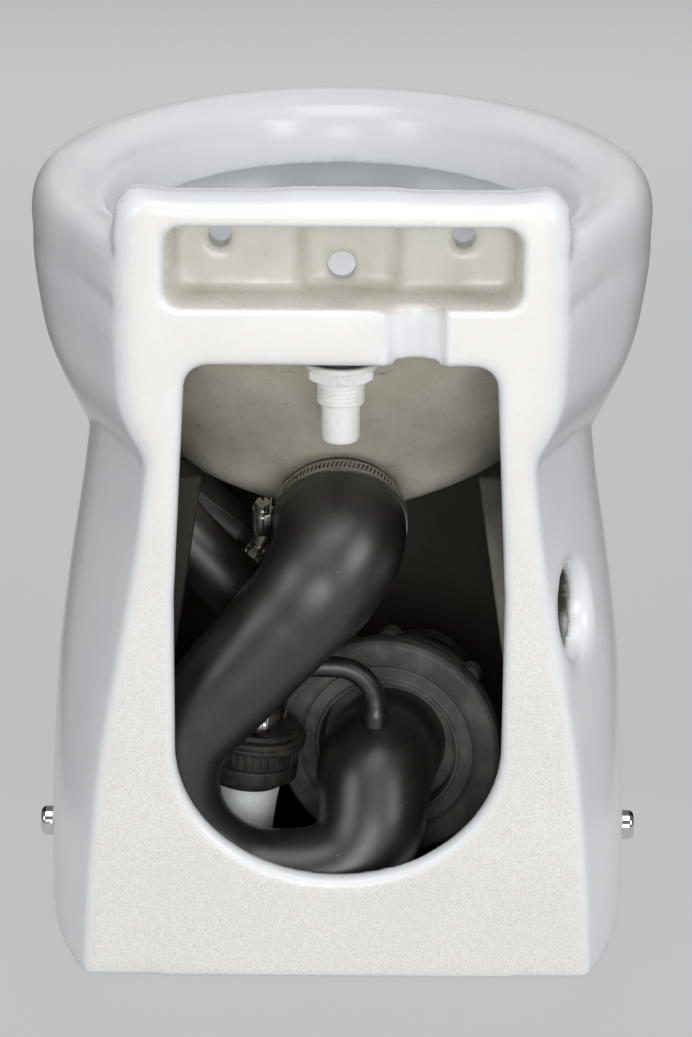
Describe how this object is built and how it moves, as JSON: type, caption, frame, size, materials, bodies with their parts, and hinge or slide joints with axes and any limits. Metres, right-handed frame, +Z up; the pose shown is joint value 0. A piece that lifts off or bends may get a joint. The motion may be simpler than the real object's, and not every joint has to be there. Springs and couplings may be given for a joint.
{
  "type": "electric marine toilet",
  "caption": "Electric marine toilet in one-piece white china with a rear access opening, rubber trap, macerator pump, check valve, hose clips, rinse spigot and chrome side screw caps.",
  "frame": {"origin": "on the floor under the middle of the outline", "axes": "+Z up, -Y is the front of the bowl, +Y is the flat back with the access opening, X across"},
  "size_m": [0.3726, 0.465, 0.4612],
  "materials": {
    "china": "glazed outside, rough-glazed back",
    "white_plastic": "injection moulded",
    "rubber": "moulded satin",
    "black_plastic": "injection moulded",
    "stainless": "rolled and stamped",
    "chrome": "bright plated",
    "painted_steel": "black painted",
    "iron": "plain",
    "label": "blank matt label"
  },
  "bodies": {
    "frame": {"china_bowl": "china", "inlet_spigot": "white_plastic", "inlet_nut": "white_plastic", "inlet_gasket": "rubber", "trap_boot": "rubber", "vent_hose": "rubber", "discharge_hose": "rubber", "horn_clamp_band": "stainless", "horn_clamp_housing": "stainless", "outlet_clamp_band": "stainless", "outlet_clamp_housing": "stainless", "valve_clamp_band": "stainless", "valve_clamp_housing": "stainless", "valve_body": "black_plastic", "valve_collar": "black_plastic", "valve_tail": "black_plastic", "valve_label": "label", "flap_pin": "stainless", "pump_cover": "black_plastic", "cover_seal": "rubber", "volute_housing": "black_plastic", "cutter_plate": "stainless", "shaft_seal": "rubber", "front_bearing": "stainless", "rear_bearing": "stainless", "motor_bell": "black_plastic", "motor_can": "painted_steel", "motor_magnets": "iron", "motor_end_cap": "black_plastic", "cable_gland": "black_plastic", "flange_screws": "stainless", "pump_foot": "stainless", "rubber_feet": "rubber", "foot_screws": "stainless", "floor_bracket_left": "stainless", "floor_bracket_right": "stainless", "bracket_screws": "stainless"},
    "rotor": {"motor_shaft": "stainless", "armature": "iron", "impeller": "black_plastic", "macerator_blade": "stainless"},
    "flap": {"valve_flap": "rubber"},
    "horn_screw": {"horn_clamp_screw": "stainless"},
    "outlet_screw": {"outlet_clamp_screw": "stainless"},
    "valve_screw": {"valve_clamp_screw": "stainless"},
    "left_cap": {"screw_cap_left": "chrome"},
    "right_cap": {"screw_cap_right": "chrome"}
  },
  "joints": [
    {"name": "rotor_spin", "type": "hinge", "parent": "frame", "child": "rotor", "pos_m": [-0.05009, 0.01668, 0.093], "axis": [-0.2079, -0.9781, 0], "continuous": true},
    {"name": "flap_swing", "type": "hinge", "parent": "frame", "child": "flap", "pos_m": [0.0647, 0.1305, 0.11179], "axis": [0, -1, 0], "range_deg": [0, 65], "stiffness_Nm_per_rad": 0.002, "springref_deg": -17.19},
    {"name": "horn_screw_turn", "type": "hinge", "parent": "frame", "child": "horn_screw", "pos_m": [0.04455, 0.14574, 0.24854], "axis": [0, 0.2419, 0.9703], "continuous": true},
    {"name": "outlet_screw_turn", "type": "hinge", "parent": "frame", "child": "outlet_screw", "pos_m": [0.04549, 0.10421, 0.22068], "axis": [0.5244, 0.5299, -0.6664], "continuous": true},
    {"name": "valve_screw_turn", "type": "hinge", "parent": "frame", "child": "valve_screw", "pos_m": [0.04993, 0.15505, 0.12638], "axis": [0.9903, 0, 0.1392], "continuous": true},
    {"name": "left_cap_pull", "type": "slide", "parent": "frame", "child": "left_cap", "axis": [1, 0, 0], "range_m": [0, 0.02]},
    {"name": "right_cap_pull", "type": "slide", "parent": "frame", "child": "right_cap", "axis": [-1, 0, 0], "range_m": [0, 0.02]}
  ]
}
